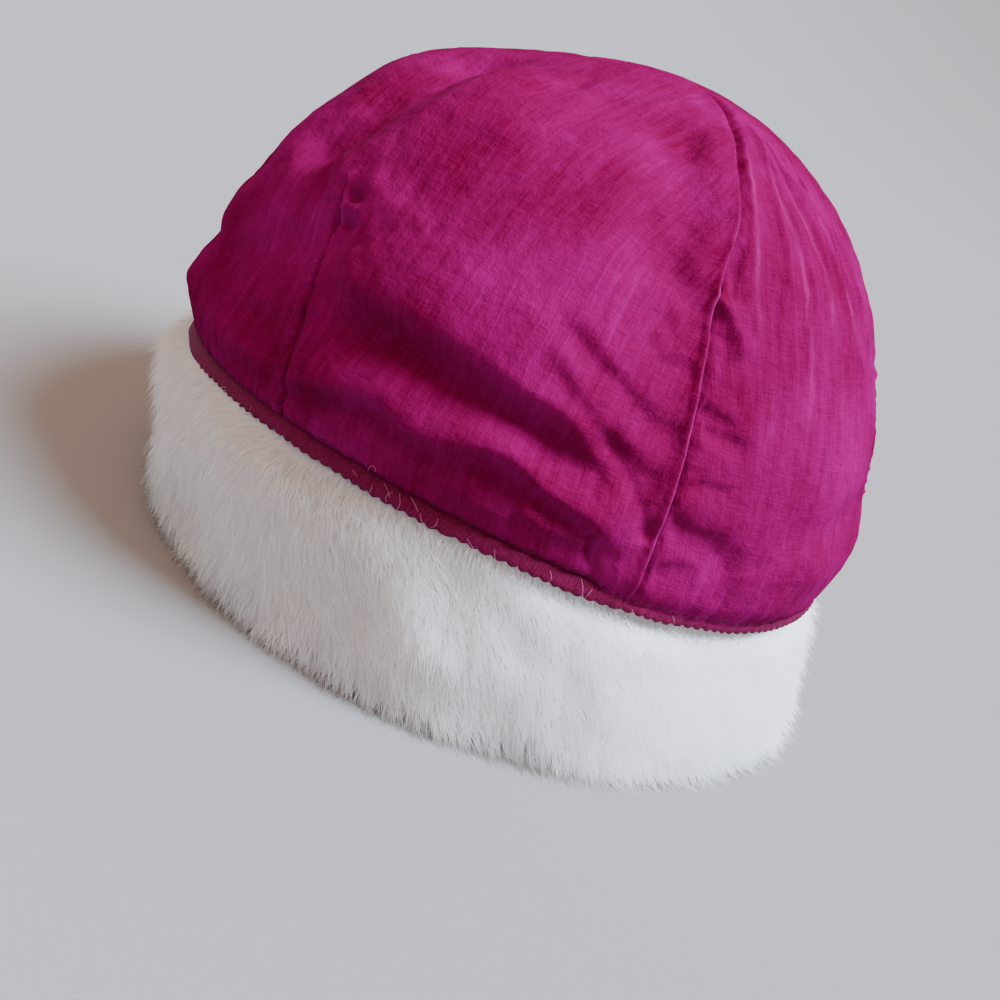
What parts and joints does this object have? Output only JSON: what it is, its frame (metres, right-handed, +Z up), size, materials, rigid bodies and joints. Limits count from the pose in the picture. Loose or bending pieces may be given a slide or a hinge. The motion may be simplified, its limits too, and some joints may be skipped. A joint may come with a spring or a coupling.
{
  "type": "winter hat",
  "caption": "Soft winter hat: a crinkled cloth crown of two sewn halves with darts, over a thick fur rim, open below.",
  "frame": {"origin": "centre of the hat at the level of the surface it stands on", "axes": "+Z up, the front of the hat towards -Y, the wearer's left towards +X"},
  "size_m": [0.208, 0.2193, 0.1567],
  "materials": {
    "crown_cloth": "crinkled taffeta, soft sheen",
    "edging": "overlocked edge, matt",
    "fur": "short dense pile"
  },
  "bodies": {
    "root": {"crown_left": "crown_cloth", "crown_right": "crown_cloth", "hem_edging": "edging", "fur_band": "fur"}
  },
  "joints": []
}
